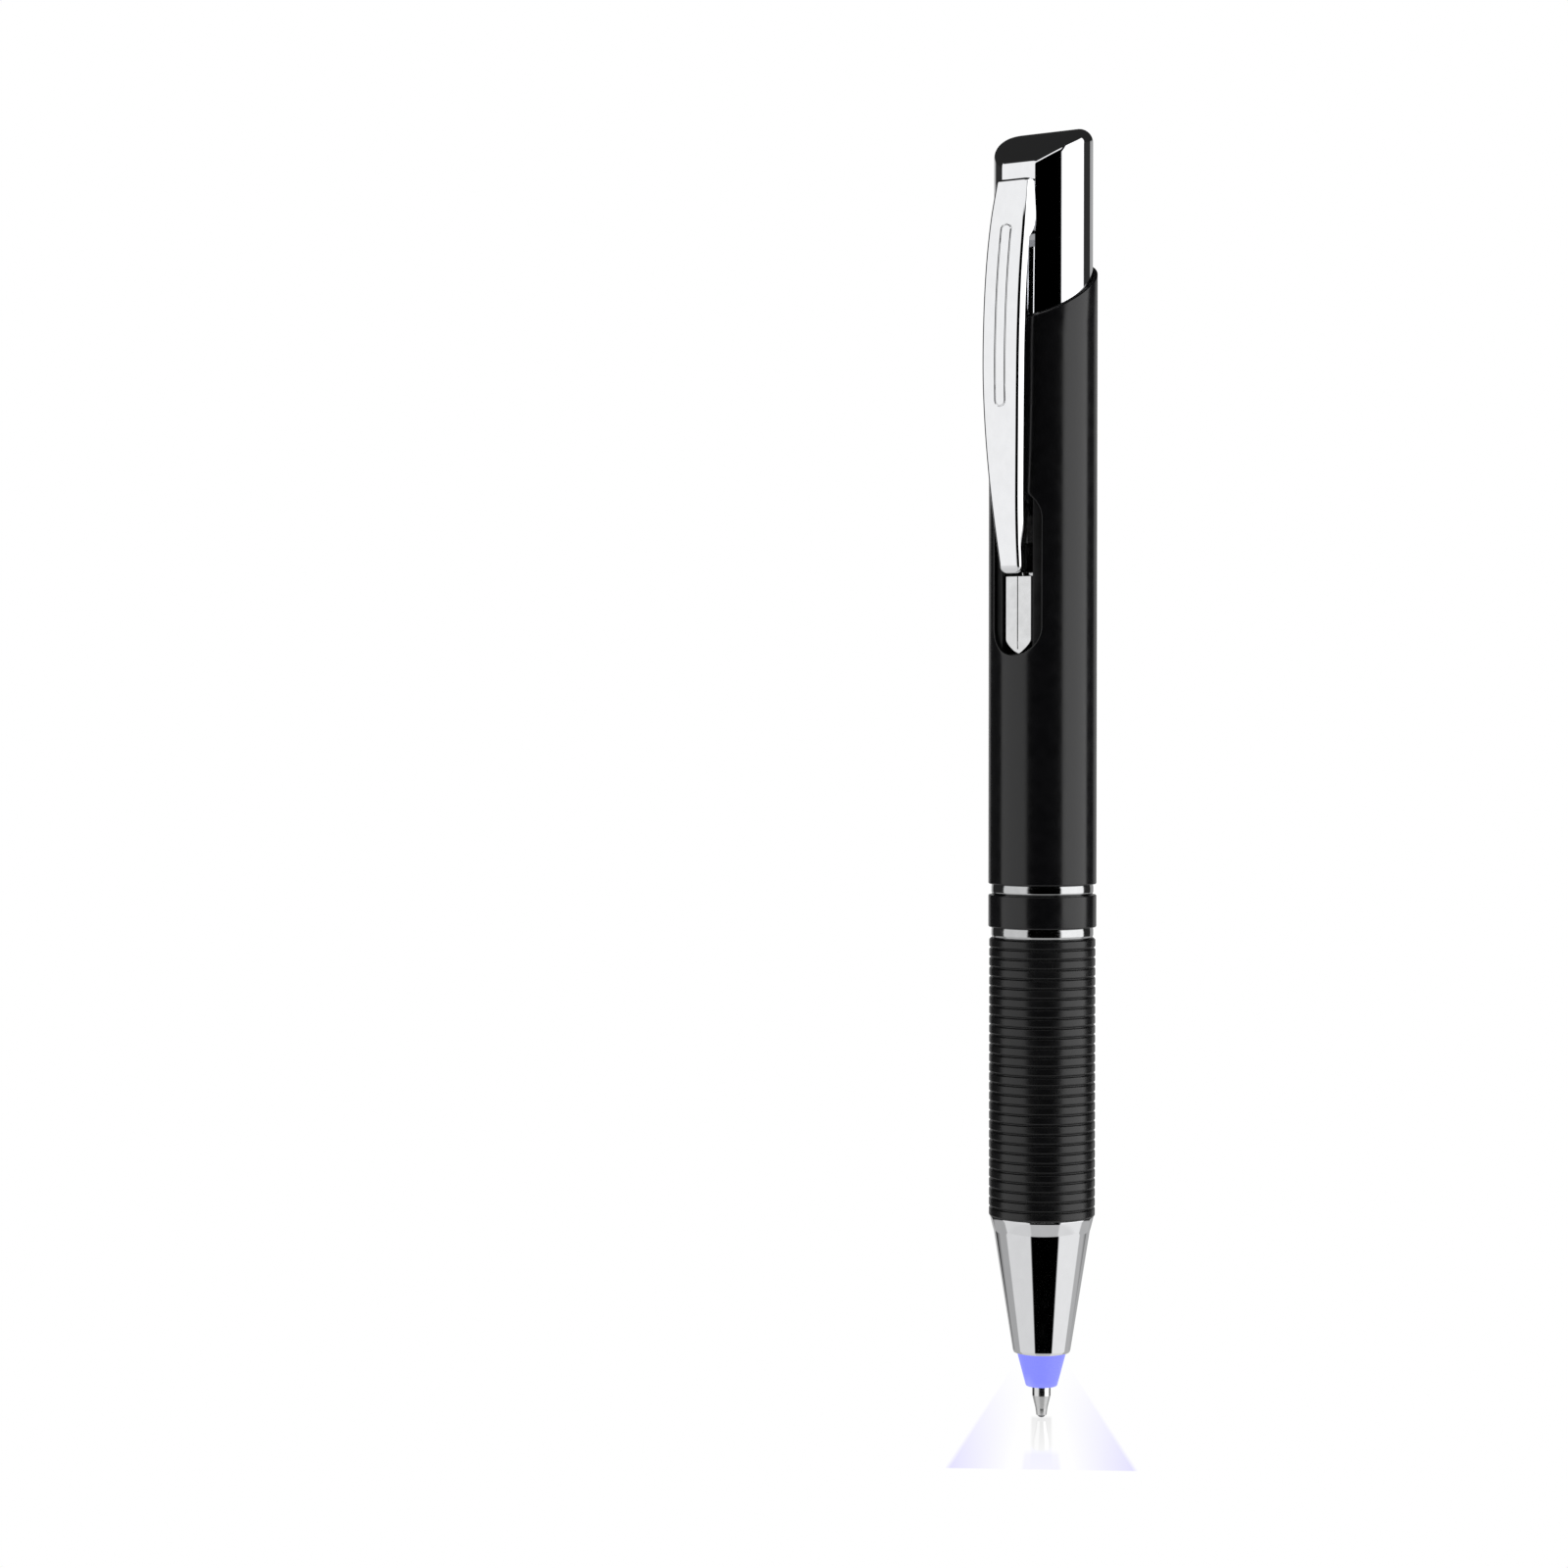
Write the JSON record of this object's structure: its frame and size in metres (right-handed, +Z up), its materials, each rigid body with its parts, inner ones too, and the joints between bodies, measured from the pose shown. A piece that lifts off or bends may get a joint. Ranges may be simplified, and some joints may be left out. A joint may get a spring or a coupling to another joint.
{
  "type": "counterfeit detector pen",
  "caption": "Slim push-cap pen with a lit clear nose, ribbed grip, bowed pocket clip and a latch tab in a barrel window.",
  "frame": {"origin": "lowest point of the writing ball, on the pen's axis, with the refill extended", "axes": "+Z up the pen from the writing tip to the push cap; the pocket clip is on the -Y side"},
  "size_m": [0.0116, 0.0146, 0.1397],
  "materials": {
    "anodised_black": "satin black anodised",
    "chrome": "polished",
    "grip_rubber": "matte black, moulded ribs",
    "guide_clear": "clear, lit violet from inside",
    "black_plastic": "moulded black",
    "natural_plastic": "milky moulded",
    "brass": "turned",
    "nickel_silver": "turned",
    "steel": "drawn",
    "carbide": "ground ball",
    "ink": "clear invisible ink",
    "circuit_board": "solder mask",
    "led": "ultraviolet chip package",
    "cell_steel": "pressed can"
  },
  "bodies": {
    "front_section": {"light_guide": "guide_clear", "nose_cone": "chrome", "led_board": "circuit_board", "uv_leds": "led", "insulator_tube": "natural_plastic", "lead_strips": "brass", "contact_ring": "brass", "inner_barrel": "brass", "grip_sleeve": "grip_rubber", "threaded_connector": "brass", "lower_ring": "chrome", "centre_band": "anodised_black", "upper_ring": "chrome", "refill_spring": "steel"},
    "upper_section": {"upper_barrel": "anodised_black", "thread_bush": "brass", "barrel_liner": "black_plastic"},
    "plunger": {"battery_holder": "black_plastic", "lower_contact": "brass", "button_cells": "cell_steel", "battery_spring": "steel", "plunger_core": "black_plastic", "tab_pin": "steel", "push_cap": "chrome"},
    "tab": {"release_tab": "chrome"},
    "clip": {"pocket_clip": "chrome"},
    "refill": {"refill_tip": "nickel_silver", "refill_tube": "steel", "ink_column": "ink", "refill_plug": "natural_plastic", "refill_carrier": "natural_plastic"},
    "writing_ball": {"ball": "carbide"}
  },
  "joints": [
    {"name": "upper_section_off", "type": "slide", "parent": "front_section", "child": "upper_section", "axis": [0, 0, 1], "range_m": [0, 0.04]},
    {"name": "push_travel", "type": "slide", "parent": "upper_section", "child": "plunger", "axis": [0, 0, 1], "range_m": [0, 0.006]},
    {"name": "tab_press", "type": "hinge", "parent": "plunger", "child": "tab", "pos_m": [0, -0.0034, 0.1027], "axis": [1, 0, 0], "range_deg": [0, 4], "stiffness_Nm_per_rad": 0.01},
    {"name": "clip_flex", "type": "hinge", "parent": "plunger", "child": "clip", "pos_m": [0, -0.00535, 0.13375], "axis": [-1, 0, 0], "range_deg": [0, 3], "stiffness_Nm_per_rad": 0.1},
    {"name": "refill_travel", "type": "slide", "parent": "front_section", "child": "refill", "axis": [0, 0, 1], "range_m": [0, 0.006], "deforming": ["refill_spring"]},
    {"name": "ball_roll", "type": "hinge", "parent": "refill", "child": "writing_ball", "pos_m": [0, 0, 0.0005], "axis": [1, 0, 0], "continuous": true}
  ],
  "couplings": [
    {"joint": "refill_travel", "follows": "push_travel", "ratio": 1}
  ]
}
